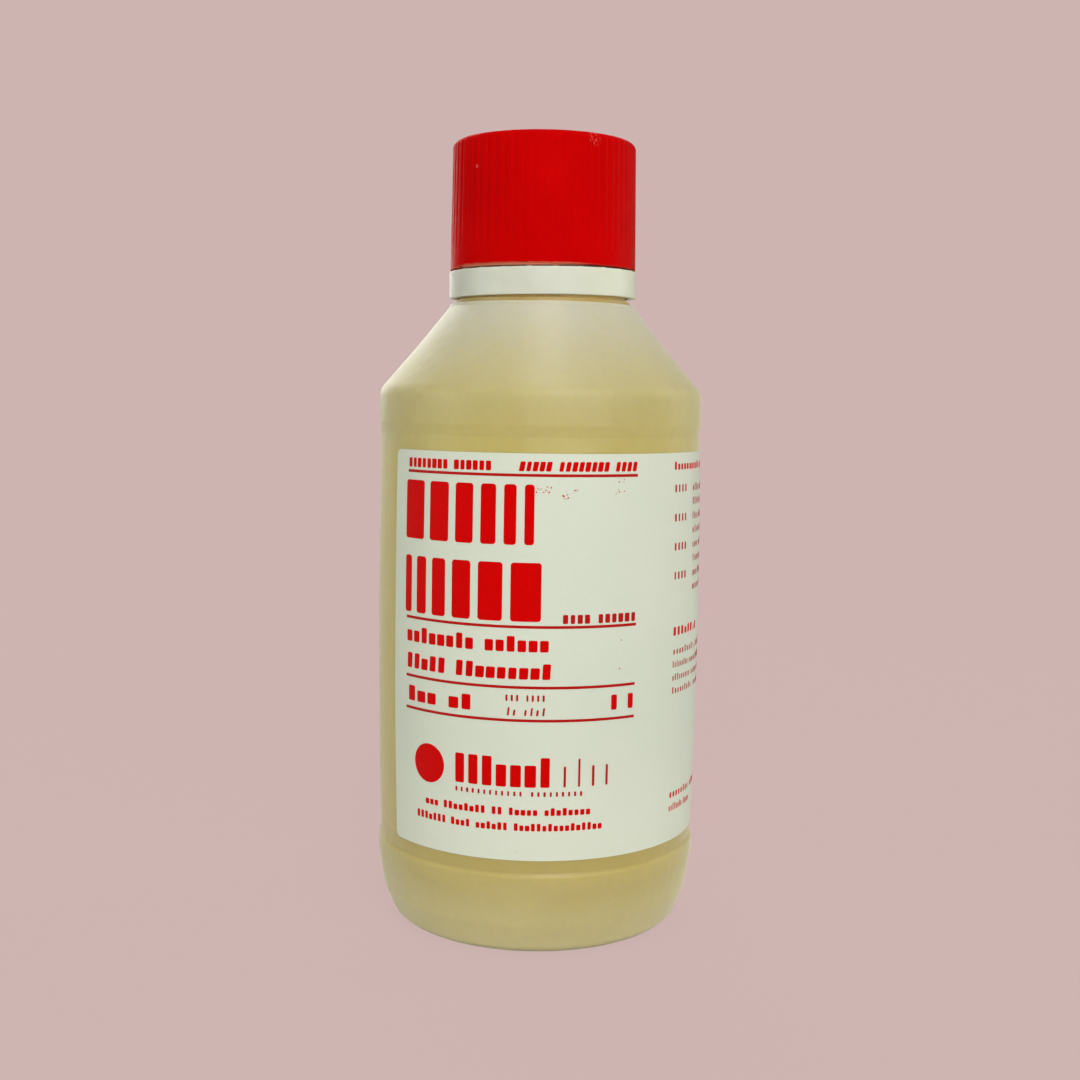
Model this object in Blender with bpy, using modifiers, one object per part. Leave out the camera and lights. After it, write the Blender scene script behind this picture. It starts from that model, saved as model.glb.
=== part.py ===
"""Round HDPE chemical bottle, 250 ml class, with a ribbed screw cap, a loose
tamper ring, a sealing wad, a wrap-round label and its liquid contents.

Frame: +Z up, origin at the centre of the base on the standing plane, the
front of the label towards -Y. Blender units are metres.
"""
import math

import bmesh
import bpy
from mathutils import Matrix, Vector

MM = 0.001

# ------------------------------------------------------------------ dimensions
# Bottle body
BODY_R = 31.0 * MM            # beads above and below the label panel
WALL = 1.1 * MM               # blow-moulded wall
SHOULDER_TOP_Z = 118.6 * MM   # flat ledge round the foot of the neck
FLANGE_R = 17.8 * MM          # short upright edge of the ledge
FLANGE_H = 0.6 * MM
CONE_TOP_R = 17.50 * MM       # the cone's line carried up to the ledge
CONE_MID_R = 24.0 * MM        # the cone is a little hollow
CONE_MID_Z = 110.45 * MM
SHOULDER_Z = 102.3 * MM       # where the cone meets the body
PANEL_R = 30.35 * MM          # label panel at its two ends
PANEL_MID_R = 30.48 * MM      # and half-way up, slightly barrelled
PANEL_TOP_Z = 94.2 * MM
PANEL_BOTTOM_Z = 16.2 * MM
STEP_H = 0.8 * MM             # height of the step at each end of the panel
HEEL_R = 27.5 * MM            # sharp corner of the heel on the base plane
STAND_IN_R = 23.6 * MM        # inner edge of the standing ring
PUSH_UP_H = 3.2 * MM          # dome under the base

# Neck finish
NECK_R = 14.4 * MM
BORE_R = 12.7 * MM
LIP_Z = 145.7 * MM
FOOT_R = 16.8 * MM            # thick foot of the neck, below the tamper ring
FOOT_Z = 119.3 * MM
SPIGOT_R = 16.0 * MM          # step of the foot that reaches into the ring
SPIGOT_Z = 120.2 * MM
BEAD_R = 15.95 * MM            # bead that holds the tamper ring down
BEAD_BOTTOM_Z = 122.6 * MM
BEAD_TOP_Z = 126.1 * MM

# Thread, shared by neck and cap
PITCH = 4.0 * MM
THREAD_TURNS = 1.75
THREAD_START_Z = 132.0 * MM
THREAD_H = 1.2 * MM
THREAD_ROOT_W = 2.2 * MM
THREAD_CREST_W = 1.0 * MM
THREAD_SINK = 0.5 * MM        # how far a ridge is rooted in its wall
THREAD_FADE = math.radians(24.0)
NECK_THREAD_A0 = math.radians(-60.0)

# Screw cap
CAP_BOTTOM_Z = 125.5 * MM
CAP_TOP_Z = 149.1 * MM
CAP_R_BOTTOM = 17.55 * MM     # skirt between the ribs, at the open end
CAP_R_TOP = 17.22 * MM
COLLAR_R = 17.75 * MM
CAP_IN_R = 16.0 * MM
CAP_ROOF = 1.6 * MM
CAP_EDGE = 1.2 * MM
RIB_COUNT = 60
RIB_H = 0.2 * MM
RIB_ROOT_W = 1.15 * MM
RIB_CREST_W = 0.45 * MM
COLLAR_H = 1.9 * MM           # plain band below the ribs
LUG_H = 0.45 * MM             # tab on the open end of the skirt
LUG_FROM = math.radians(-90.0)
LUG_TO = math.radians(-62.0)

# Tamper ring
RING_H = 5.0 * MM
RING_TOP_Z = 124.92 * MM
RING_R = 17.9 * MM
RING_IN_R = 16.4 * MM
RING_SNAP_R = 15.0 * MM
RING_TILT_X = math.radians(0.6)  # it hangs a little low at the front
RING_TILT_Y = math.radians(0.7)  # and on the -X side

# Sealing wad
WAD_R = 15.4 * MM
WAD_T = 1.2 * MM

# Label
LABEL_BOTTOM_Z = 18.6 * MM
LABEL_TOP_Z = 91.4 * MM
LABEL_T = 0.18 * MM
LABEL_CORNER = 1.2 * MM
LABEL_FROM = math.radians(-57.7)
LABEL_WRAP = math.radians(300.0)

# Contents and running gap
GAP = 0.3 * MM
FILL_Z = 99.5 * MM
STEPS = 40


# --------------------------------------------------------------------- helpers
def clear_scene():
    for ob in list(bpy.data.objects):
        bpy.data.objects.remove(ob, do_unlink=True)


def new_collection(name):
    coll = bpy.data.collections.new(name)
    bpy.context.scene.collection.children.link(coll)
    return coll


def plastic(name, colour, roughness, transmission=0.0, ior=1.5):
    mat = bpy.data.materials.new(name)
    mat.use_nodes = True
    bsdf = mat.node_tree.nodes["Principled BSDF"]
    bsdf.inputs["Base Color"].default_value = (*colour, 1.0)
    bsdf.inputs["Roughness"].default_value = roughness
    bsdf.inputs["Metallic"].default_value = 0.0
    bsdf.inputs["IOR"].default_value = ior
    bsdf.inputs["Transmission Weight"].default_value = transmission
    mat.diffuse_color = (*colour, 1.0)
    return mat


def rounded(corners):
    """Polyline through corners (r, z, fillet, segments), each one rounded."""
    pts = []
    for i, (r, z, fillet, seg) in enumerate(corners):
        b = Vector((r, z))
        if fillet <= 0.0 or i == 0 or i == len(corners) - 1:
            pts.append(b)
            continue
        a = Vector(corners[i - 1][:2])
        c = Vector(corners[i + 1][:2])
        u = (a - b).normalized()
        w = (c - b).normalized()
        half = math.acos(max(-1.0, min(1.0, u.dot(w)))) / 2.0
        back = fillet / math.tan(half)
        centre = b + (u + w).normalized() * (fillet / math.sin(half))
        p0 = b + u * back
        p1 = b + w * back
        for k in range(seg + 1):
            m = p0.lerp(p1, k / seg) - centre
            pts.append(centre + m.normalized() * fillet)
    return [(p.x, p.y) for p in pts]


def inset(corners, t):
    """Corner list moved by t into the material, mitred at each corner."""
    out = []
    pts = [Vector(c[:2]) for c in corners]
    for i, p in enumerate(pts):
        normals = []
        if i > 0:
            d = (p - pts[i - 1]).normalized()
            normals.append(Vector((d.y, -d.x)))
        if i < len(pts) - 1:
            d = (pts[i + 1] - p).normalized()
            normals.append(Vector((d.y, -d.x)))
        if len(normals) == 2:
            n = (normals[0] + normals[1]) / (1.0 + normals[0].dot(normals[1]))
        else:
            n = normals[0]
        q = p + n * t
        if p.x < 1e-9:
            q = Vector((0.0, p.y + t))
        fillet = corners[i][2]
        out.append((q.x, q.y, max(fillet - t, 0.0) if fillet > 0.0 else 0.0,
                    min(corners[i][3], 2)))
    return out


def turned(name, profile, coll, mat, steps=STEPS, z_origin=0.0):
    """Closed solid turned about Z from an open profile that starts and ends on
    the axis, or from a closed loop, running down its outer side."""
    loop = profile[0] == profile[-1]
    pts = profile[:-1] if loop else profile
    mesh = bpy.data.meshes.new(name)
    bm = bmesh.new()
    verts = [bm.verts.new((r, 0.0, z - z_origin)) for r, z in pts]
    for a, b in zip(verts, verts[1:]):
        bm.edges.new((a, b))
    if loop:
        bm.edges.new((verts[-1], verts[0]))
    bm.to_mesh(mesh)
    bm.free()
    ob = bpy.data.objects.new(name, mesh)
    coll.objects.link(ob)
    ob.location.z = z_origin
    mod = ob.modifiers.new("turn", "SCREW")
    mod.axis = "Z"
    mod.angle = 2.0 * math.pi
    mod.steps = steps
    mod.render_steps = steps
    mod.screw_offset = 0.0
    mod.use_merge_vertices = True
    mod.merge_threshold = 0.00001
    mod.use_smooth_shade = True
    mesh.materials.append(mat)
    return ob


def loft(name, sections, coll, mat):
    """Closed solid through a row of like polygons, capped at both ends."""
    mesh = bpy.data.meshes.new(name)
    bm = bmesh.new()
    rows = [[bm.verts.new(p) for p in sec] for sec in sections]
    n = len(rows[0])
    for lo, hi in zip(rows, rows[1:]):
        for i in range(n):
            j = (i + 1) % n
            bm.faces.new((lo[i], lo[j], hi[j], hi[i]))
    bm.faces.new(list(reversed(rows[0])))
    bm.faces.new(rows[-1])
    bmesh.ops.recalc_face_normals(bm, faces=bm.faces)
    bm.to_mesh(mesh)
    bm.free()
    ob = bpy.data.objects.new(name, mesh)
    coll.objects.link(ob)
    mesh.materials.append(mat)
    return ob


def hide_tool(ob):
    ob.hide_render = True
    ob.display_type = "WIRE"


def unite(target, tool, name):
    mod = target.modifiers.new(name, "BOOLEAN")
    mod.operation = "UNION"
    mod.solver = "EXACT"
    mod.object = tool


def around(r, angle, z):
    """Point at radius r; angle 0 faces the front (-Y) and grows towards +X."""
    return Vector((r * math.sin(angle), -r * math.cos(angle), z))


def thread_ridge(name, root_r, outward, start_z, start_a, coll, mat):
    """Right-hand helical ridge with a trapezoid section that fades in and out."""
    sign = 1.0 if outward else -1.0
    count = int(round(THREAD_TURNS * 30))
    total = THREAD_TURNS * 2.0 * math.pi
    sections = []
    for k in range(count + 1):
        a = total * k / count
        edge = min(a, total - a)
        rise = min(1.0, edge / THREAD_FADE)
        rise = rise * rise * (3.0 - 2.0 * rise)
        crest = root_r + sign * (THREAD_H * rise - 0.12 * MM * (1.0 - rise))
        foot = root_r - sign * THREAD_SINK
        z = start_z + PITCH * a / (2.0 * math.pi)
        grow = (THREAD_ROOT_W - THREAD_CREST_W) / THREAD_H
        half_foot = (THREAD_ROOT_W + grow * THREAD_SINK) / 2.0
        half_crest = THREAD_CREST_W / 2.0
        ang = start_a + a
        sections.append([around(foot, ang, z - half_foot), around(crest, ang, z - half_crest),
                         around(crest, ang, z + half_crest), around(foot, ang, z + half_foot)])
    return loft(name, sections, coll, mat)


# ------------------------------------------------------------------ the pieces
def body_corners():
    """Outer skin from the foot of the neck down to the centre of the base."""
    mid_z = (PANEL_TOP_Z + PANEL_BOTTOM_Z) / 2.0
    return [
        (NECK_R, SHOULDER_TOP_Z, 0.0, 1),
        (CONE_TOP_R, SHOULDER_TOP_Z, 0.9 * MM, 2),
        (CONE_MID_R, CONE_MID_Z, 30.0 * MM, 2),
        (BODY_R, SHOULDER_Z, 3.4 * MM, 3),
        (BODY_R, PANEL_TOP_Z + STEP_H, 0.0, 1),
        (PANEL_R, PANEL_TOP_Z, 0.0, 1),
        (PANEL_MID_R, mid_z, 0.0, 1),
        (PANEL_R, PANEL_BOTTOM_Z, 0.0, 1),
        (BODY_R, PANEL_BOTTOM_Z - STEP_H, 0.0, 1),
        (BODY_R, 12.6 * MM, 9.0 * MM, 2),
        (29.9 * MM, 6.0 * MM, 6.0 * MM, 2),
        (HEEL_R, 0.0, 3.2 * MM, 3),
        (STAND_IN_R, 0.0, 0.6 * MM, 1),
        (20.4 * MM, 1.9 * MM, 0.0, 1),
        (0.0, PUSH_UP_H, 0.0, 1),
    ]


def build_bottle(coll, tools, mat):
    outer = body_corners()
    inner = inset(outer, WALL)
    # the cavity wall climbs from the base, closes in at the shoulder and
    # becomes the bore of the neck
    climb = list(reversed(inner))
    climb[-1] = (BORE_R, climb[-1][1], 0.9 * MM, 2)
    path = climb + [
        (BORE_R, LIP_Z, 0.4 * MM, 2),
        (NECK_R, LIP_Z, 0.4 * MM, 2),
        (NECK_R, BEAD_TOP_Z, 0.0, 1),
        (BEAD_R - 0.35 * MM, BEAD_TOP_Z - 0.7 * MM, 0.0, 1),
        (BEAD_R, BEAD_TOP_Z - 0.95 * MM, 0.0, 1),
        (BEAD_R, BEAD_BOTTOM_Z + 0.3 * MM, 0.0, 1),
        (NECK_R, BEAD_BOTTOM_Z, 0.0, 1),
        (NECK_R, SPIGOT_Z, 0.3 * MM, 1),
        (SPIGOT_R, SPIGOT_Z, 0.0, 1),
        (SPIGOT_R, FOOT_Z, 0.0, 1),
        (FOOT_R, FOOT_Z, 0.0, 1),
        (FOOT_R, SHOULDER_TOP_Z, 0.0, 1),
        (FLANGE_R - 0.15 * MM, SHOULDER_TOP_Z, 0.0, 1),
        (FLANGE_R, SHOULDER_TOP_Z - 0.15 * MM, 0.0, 1),
        (FLANGE_R + 0.1 * MM, SHOULDER_TOP_Z - FLANGE_H, 0.0, 1),
    ] + outer[2:]
    ob = turned("bottle_body", rounded(path), coll, mat)
    ridge = thread_ridge("neck_thread_tool", NECK_R, True, THREAD_START_Z, NECK_THREAD_A0,
                         tools, mat)
    hide_tool(ridge)
    unite(ob, ridge, "neck thread")
    return ob


def build_liquid(coll, mat):
    inner = inset(body_corners(), WALL + GAP + 0.06 * MM)
    # keep only what lies below the surface of the liquid
    low = [c for c in inner if c[1] < FILL_Z]
    path = [(0.0, FILL_Z, 0.0, 1), (low[0][0], FILL_Z, 0.4 * MM, 1)] + low
    return turned("developer_liquid", rounded(path), coll, mat)


def build_cap(coll, tools, mat):
    roof_in = CAP_TOP_Z - CAP_ROOF
    path = [
        (0.0, roof_in, 0.0, 1),
        (CAP_IN_R, roof_in, 0.5 * MM, 2),
        (CAP_IN_R, CAP_BOTTOM_Z + 0.5 * MM, 0.0, 1),
        (CAP_IN_R + 0.35 * MM, CAP_BOTTOM_Z, 0.0, 1),
        (COLLAR_R - 0.1 * MM, CAP_BOTTOM_Z, 0.0, 1),
        (COLLAR_R, CAP_BOTTOM_Z + 0.15 * MM, 0.0, 1),
        (COLLAR_R, CAP_BOTTOM_Z + COLLAR_H - 0.15 * MM, 0.0, 1),
        (CAP_R_BOTTOM, CAP_BOTTOM_Z + COLLAR_H, 0.0, 1),
        (CAP_R_TOP, CAP_TOP_Z, CAP_EDGE, 3),
        (0.0, CAP_TOP_Z, 0.0, 1),
    ]
    # the loop is listed from the roof's underside outwards, so it is reversed
    # to run down the outer side
    ob = turned("screw_cap", list(reversed(rounded(path))), coll, mat, steps=60,
                z_origin=CAP_BOTTOM_Z)

    # grip ribs: one upright prism each, drafted like the skirt
    mesh = bpy.data.meshes.new("grip_ribs_tool")
    bm = bmesh.new()
    z0 = CAP_BOTTOM_Z + COLLAR_H
    z1 = CAP_TOP_Z - CAP_EDGE * 0.75
    for k in range(RIB_COUNT):
        a = 2.0 * math.pi * (k + 0.5) / RIB_COUNT
        cells = []
        # the foot of the rib is buried in the collar
        for z, face, up in ((z0 - 0.6 * MM, CAP_R_BOTTOM, 0.8), (z1, CAP_R_TOP, 1.0),
                            (z1 + 0.6 * MM, CAP_R_TOP, -1.45)):
            crest = face + RIB_H * up - (0.0 if up > 0.0 else 0.02 * MM)
            foot = face - 0.35 * MM - (0.35 * MM if up < 0.0 else 0.0)
            row = []
            for r, w in ((foot, RIB_ROOT_W), (foot, -RIB_ROOT_W), (crest, -RIB_CREST_W),
                         (crest, RIB_CREST_W)):
                row.append(around(r, a + w / (2.0 * face), z) - Vector((0, 0, CAP_BOTTOM_Z)))
            cells.append([bm.verts.new(p) for p in row])
        for lo, hi in zip(cells, cells[1:]):
            for i in range(4):
                j = (i + 1) % 4
                bm.faces.new((lo[i], lo[j], hi[j], hi[i]))
        bm.faces.new(list(reversed(cells[0])))
        bm.faces.new(cells[-1])
    bmesh.ops.recalc_face_normals(bm, faces=bm.faces)
    bm.to_mesh(mesh)
    bm.free()
    mesh.materials.append(mat)
    ribs = bpy.data.objects.new("grip_ribs_tool", mesh)
    tools.objects.link(ribs)
    ribs.location.z = CAP_BOTTOM_Z
    hide_tool(ribs)
    unite(ob, ribs, "grip ribs")

    # the cap's ridge lies half a pitch above the neck's, so the two are in mesh
    ridge = thread_ridge("cap_thread_tool", CAP_IN_R - 0.02 * MM, False,
                         THREAD_START_Z - PITCH / 2.0, NECK_THREAD_A0, tools, mat)
    hide_tool(ridge)
    unite(ob, ridge, "cap thread")

    # tab on the open end of the skirt
    n = 6
    sections = []
    for k in range(n + 1):
        a = LUG_FROM + (LUG_TO - LUG_FROM) * k / n
        lo = CAP_BOTTOM_Z - LUG_H
        hi = CAP_BOTTOM_Z + 0.6 * MM
        sections.append([around(CAP_IN_R + 0.4 * MM, a, lo), around(COLLAR_R - 0.12 * MM, a, lo),
                         around(COLLAR_R - 0.12 * MM, a, hi), around(CAP_IN_R + 0.4 * MM, a, hi)])
    lug = loft("skirt_tab_tool", sections, tools, mat)
    hide_tool(lug)
    unite(ob, lug, "skirt tab")
    return ob


def build_ring(coll, mat):
    top = RING_H / 2.0
    bot = -top
    path = [
        (RING_IN_R, top - 0.3 * MM, 0.0, 1),
        (RING_IN_R + 0.3 * MM, top, 0.0, 1),
        (RING_R - 0.15 * MM, top, 0.0, 1),
        (RING_R, top - 0.15 * MM, 0.0, 1),
        (RING_R, bot + 0.3 * MM, 0.0, 1),
        (RING_R - 0.3 * MM, bot, 0.0, 1),
        (RING_IN_R, bot, 0.0, 1),
        (RING_IN_R, bot + 0.9 * MM, 0.0, 1),
        (RING_SNAP_R, bot + 1.1 * MM, 0.0, 1),
        (RING_SNAP_R, bot + 1.9 * MM, 0.0, 1),
        (RING_IN_R, bot + 2.2 * MM, 0.0, 1),
        (RING_IN_R, top - 0.3 * MM, 0.0, 1),
    ]
    ob = turned("tamper_ring", [(r, z) for r, z, _, _ in path], coll, mat)
    ob.location = (0.0, 0.0, RING_TOP_Z - top)
    ob.rotation_euler = (RING_TILT_X, -RING_TILT_Y, 0.0)
    return ob


def build_wad(coll, mat):
    z0 = LIP_Z + GAP
    mesh = bpy.data.meshes.new("sealing_wad")
    bm = bmesh.new()
    bmesh.ops.create_cone(bm, cap_ends=True, cap_tris=False, segments=STEPS, radius1=WAD_R,
                          radius2=WAD_R, depth=WAD_T)
    bm.to_mesh(mesh)
    bm.free()
    mesh.shade_smooth()
    mesh.set_sharp_from_angle(angle=math.radians(40.0))
    mesh.materials.append(mat)
    ob = bpy.data.objects.new("sealing_wad", mesh)
    coll.objects.link(ob)
    ob.location.z = z0 + WAD_T / 2.0
    return ob


def build_label(coll, mat):
    """Curved sheet that follows the barrelled panel; its corners are rounded."""
    mid_z = (PANEL_TOP_Z + PANEL_BOTTOM_Z) / 2.0

    def panel(z):
        f = abs(z - mid_z) / (PANEL_TOP_Z - mid_z)
        return PANEL_MID_R + (PANEL_R - PANEL_MID_R) * f

    levels = 5
    angles = []
    corner_a = LABEL_CORNER / PANEL_MID_R
    for f in (0.0, 0.3, 1.0):
        angles.append(LABEL_FROM + corner_a * f)
    count = 50
    for k in range(1, count):
        angles.append(LABEL_FROM + corner_a + (LABEL_WRAP - 2.0 * corner_a) * k / count)
    for f in (1.0, 0.3, 0.0):
        angles.append(LABEL_FROM + LABEL_WRAP - corner_a * f)

    sections = []
    for a in angles:
        inside = min(a - LABEL_FROM, LABEL_FROM + LABEL_WRAP - a) * PANEL_MID_R
        cut = 0.0
        if inside < LABEL_CORNER:
            d = LABEL_CORNER - inside
            cut = LABEL_CORNER - math.sqrt(max(LABEL_CORNER ** 2 - d * d, 0.0))
        lo = LABEL_BOTTOM_Z + cut
        hi = LABEL_TOP_Z - cut
        zs = [lo + (hi - lo) * i / (levels - 1) for i in range(levels)]
        inner = [around(panel(z) + GAP, a, z) for z in zs]
        outer = [around(panel(z) + GAP + LABEL_T, a, z) for z in reversed(zs)]
        sections.append(inner + outer)
    ob = loft("wrap_label", sections, coll, mat)
    ob.data.shade_smooth()
    ob.data.set_sharp_from_angle(angle=math.radians(40.0))
    return ob


def main():
    clear_scene()
    parts = new_collection("developer_bottle")
    tools = new_collection("cutters")

    hdpe = plastic("natural_hdpe", (0.60, 0.55, 0.33), 0.38, 0.35, 1.54)
    liquid = plastic("developer_concentrate", (0.52, 0.40, 0.12), 0.05, 0.9, 1.36)
    paper = plastic("label_paper", (0.66, 0.68, 0.55), 0.45)
    white = plastic("white_pp", (0.66, 0.68, 0.58), 0.35)
    red = plastic("red_pp", (0.58, 0.0, 0.0), 0.32)
    foam = plastic("white_foam", (0.80, 0.80, 0.78), 0.85)

    datum = bpy.data.objects.new("bottle_datum", None)
    parts.objects.link(datum)

    made = [
        build_bottle(parts, tools, hdpe),
        build_liquid(parts, liquid),
        build_label(parts, paper),
        build_ring(parts, white),
        build_cap(parts, tools, red),
        build_wad(parts, foam),
    ]
    for ob in made:
        ob.parent = datum


main()
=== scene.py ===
"""Looks for the round chemical bottle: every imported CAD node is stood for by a
detailed piece in the same place, and the stage, lights and camera are made.
Lengths are in metres in the scene; the tables below are in millimetres.
"""
import math

import bmesh
import bpy
from mathutils import Matrix, Vector


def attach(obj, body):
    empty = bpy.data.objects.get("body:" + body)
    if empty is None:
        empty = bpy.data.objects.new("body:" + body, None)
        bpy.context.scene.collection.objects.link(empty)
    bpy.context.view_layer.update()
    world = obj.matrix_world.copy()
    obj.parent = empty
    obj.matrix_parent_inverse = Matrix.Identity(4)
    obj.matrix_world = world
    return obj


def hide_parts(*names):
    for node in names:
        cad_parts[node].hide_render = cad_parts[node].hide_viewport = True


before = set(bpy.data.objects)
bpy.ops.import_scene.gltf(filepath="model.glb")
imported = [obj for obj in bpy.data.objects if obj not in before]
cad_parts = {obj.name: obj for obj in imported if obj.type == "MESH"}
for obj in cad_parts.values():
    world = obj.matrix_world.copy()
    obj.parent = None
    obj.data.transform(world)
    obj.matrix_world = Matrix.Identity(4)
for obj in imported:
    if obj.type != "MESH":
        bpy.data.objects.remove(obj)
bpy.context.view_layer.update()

MM = 0.001
PI = math.pi

# ------------------------------------------------------------------ dimensions
BODY_R = 31.0
WALL = 1.1
LEDGE_Z, FLANGE_R, FOOT_R, FOOT_Z, SPIGOT_R, SPIGOT_Z = 118.6, 17.8, 16.8, 119.3, 16.0, 120.2
CONE_TOP_R, CONE_MID_R, CONE_MID_Z, SHOULDER_Z = 17.50, 24.0, 110.45, 102.3
BEAD_R = 15.95
PANEL_TOP, PANEL_BOTTOM = 94.2, 16.2
NECK_R, BORE_R, LIP_Z = 14.4, 12.7, 145.7
PITCH, TURNS, THREAD_Z, THREAD_H, THREAD_A0 = 4.0, 1.75, 132.0, 1.2, math.radians(-60.0)
CAP_BOTTOM, CAP_TOP, CAP_R0, CAP_R1, CAP_IN = 125.5, 149.1, 17.55, 17.22, 16.0
RIBS, RIB_H, COLLAR, COLLAR_R = 60, 0.2, 1.9, 17.75
RING_MID_Z, RING_TILT_X, RING_TILT_Y = 122.42, math.radians(0.6), math.radians(0.7)
FILL_Z = 99.5
LABEL_Z0, LABEL_Z1, LABEL_A0, LABEL_A1 = 18.6, 91.4, math.radians(-57.7), math.radians(242.3)


# ---------------------------------------------------------------- mesh helpers
def smooth(x, a=0.0, b=1.0):
    t = min(1.0, max(0.0, (x - a) / (b - a)))
    return t * t * (3.0 - 2.0 * t)


def around(r, a, z):
    """Angle 0 faces -Y and grows towards +X."""
    return (r * math.sin(a), -r * math.cos(a), z)


def rounded(corners, chord=0.45):
    """Polyline through corners (r, z, fillet), each one rounded finely."""
    pts = []
    for i, (r, z, fillet) in enumerate(corners):
        b = Vector((r, z))
        if fillet <= 0.0 or i == 0 or i == len(corners) - 1:
            pts.append(b)
            continue
        u = (Vector(corners[i - 1][:2]) - b).normalized()
        w = (Vector(corners[i + 1][:2]) - b).normalized()
        half = math.acos(max(-1.0, min(1.0, u.dot(w)))) / 2.0
        back = fillet / math.tan(half)
        centre = b + (u + w).normalized() * (fillet / math.sin(half))
        p0, p1 = b + u * back, b + w * back
        seg = max(3, min(14, int(math.ceil((p1 - p0).length / chord))))
        for k in range(seg + 1):
            m = p0.lerp(p1, k / seg) - centre
            pts.append(centre + m.normalized() * fillet)
    return [(p.x, p.y) for p in pts]


def inset(corners, t):
    """Corner list moved by t to the right of its direction of travel."""
    out = []
    pts = [Vector(c[:2]) for c in corners]
    for i, p in enumerate(pts):
        normals = []
        if i > 0:
            d = (p - pts[i - 1]).normalized()
            normals.append(Vector((d.y, -d.x)))
        if i < len(pts) - 1:
            d = (pts[i + 1] - p).normalized()
            normals.append(Vector((d.y, -d.x)))
        n = normals[0] if len(normals) == 1 else (normals[0] + normals[1]) / (1.0 + normals[0].dot(normals[1]))
        q = p + n * t
        if p.x < 1e-9:
            q = Vector((0.0, p.y + t))
        out.append((q.x, q.y, max(corners[i][2] - t, 0.35) if corners[i][2] > 0 else 0.0))
    return out


def refined(pts, step, zones=()):
    """The polyline with no span longer than step, or than fine inside a zone (z0, z1, fine)."""
    out = [pts[0]]
    for (r0, z0), (r1, z1) in zip(pts, pts[1:]):
        d = math.hypot(r1 - r0, z1 - z0)
        s = step
        for a, b, fine in zones:
            if max(z0, z1) > a and min(z0, z1) < b:
                s = min(s, fine)
        n = max(1, int(math.ceil(d / s)))
        for k in range(1, n + 1):
            out.append((r0 + (r1 - r0) * k / n, z0 + (z1 - z0) * k / n))
    return out


def new_object(name, verts, faces, mat, sharp=None):
    mesh = bpy.data.meshes.new(name)
    mesh.from_pydata([(x * MM, y * MM, z * MM) for x, y, z in verts], [], faces)
    bm = bmesh.new()
    bm.from_mesh(mesh)
    bmesh.ops.recalc_face_normals(bm, faces=bm.faces)
    bm.to_mesh(mesh)
    bm.free()
    mesh.shade_smooth()
    if sharp is not None:
        mesh.set_sharp_from_angle(angle=math.radians(sharp))
    mesh.materials.append(mat)
    ob = bpy.data.objects.new(name, mesh)
    bpy.context.scene.collection.objects.link(ob)
    return ob


def turned(name, profile, cols, mat, shape=None, loop=False, sharp=None, place=None):
    """Closed skin turned about Z from a profile (r, z). shape(i, r, z, a) moves a point."""
    verts, faces, rows = [], [], []
    for i, (r, z) in enumerate(profile):
        if r < 1e-6:
            rows.append([len(verts)])
            p = (0.0, 0.0, z)
            verts.append(place(p) if place else p)
            continue
        row = []
        for k in range(cols):
            a = 2.0 * PI * k / cols
            rr, zz = shape(i, r, z, a) if shape else (r, z)
            p = around(rr, a, zz)
            row.append(len(verts))
            verts.append(place(p) if place else p)
        rows.append(row)
    pairs = list(zip(rows, rows[1:]))
    if loop:
        pairs.append((rows[-1], rows[0]))
    for lo, hi in pairs:
        for k in range(cols):
            j = (k + 1) % cols
            if len(lo) == 1 and len(hi) == 1:
                continue
            if len(lo) == 1:
                faces.append((lo[0], hi[j], hi[k]))
            elif len(hi) == 1:
                faces.append((lo[k], lo[j], hi[0]))
            else:
                faces.append((lo[k], lo[j], hi[j], hi[k]))
    return new_object(name, verts, faces, mat, sharp)


def wave(a, z, seed):
    """Slow, smooth, repeatable unevenness in -1..1 round the turn."""
    s = 0.0
    for n, (ka, kz, ph) in enumerate(((2, 0.031, 0.4), (3, 0.052, 2.1), (5, 0.083, 4.4), (7, 0.047, 1.3))):
        s += math.sin(ka * a + kz * z * 2.3 + ph + seed * 1.7 * (n + 1)) / (n + 1.6)
    return s / 1.7


def ridge(a, z, start_z, start_a):
    """Height (0..1) of the 1.75-turn thread at angle a and height z."""
    total = TURNS * 2.0 * PI
    base = (a - start_a) % (2.0 * PI)
    best = 0.0
    for k in range(3):
        t = base + 2.0 * PI * k
        if t > total:
            break
        dz = abs(z - (start_z + PITCH * t / (2.0 * PI)))
        h = min(1.0, max(0.0, (1.1 - dz) / 0.6))
        edge = min(t, total - t)
        rise = smooth(edge, 0.0, math.radians(24.0))
        best = max(best, h * rise)
    return best


def panel_r(z):
    f = (z - (PANEL_TOP + PANEL_BOTTOM) / 2.0) / ((PANEL_TOP - PANEL_BOTTOM) / 2.0)
    f = max(-1.0, min(1.0, f))
    return 30.62 + 0.08 * f + 0.54 * (1.0 - f * f)


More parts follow.
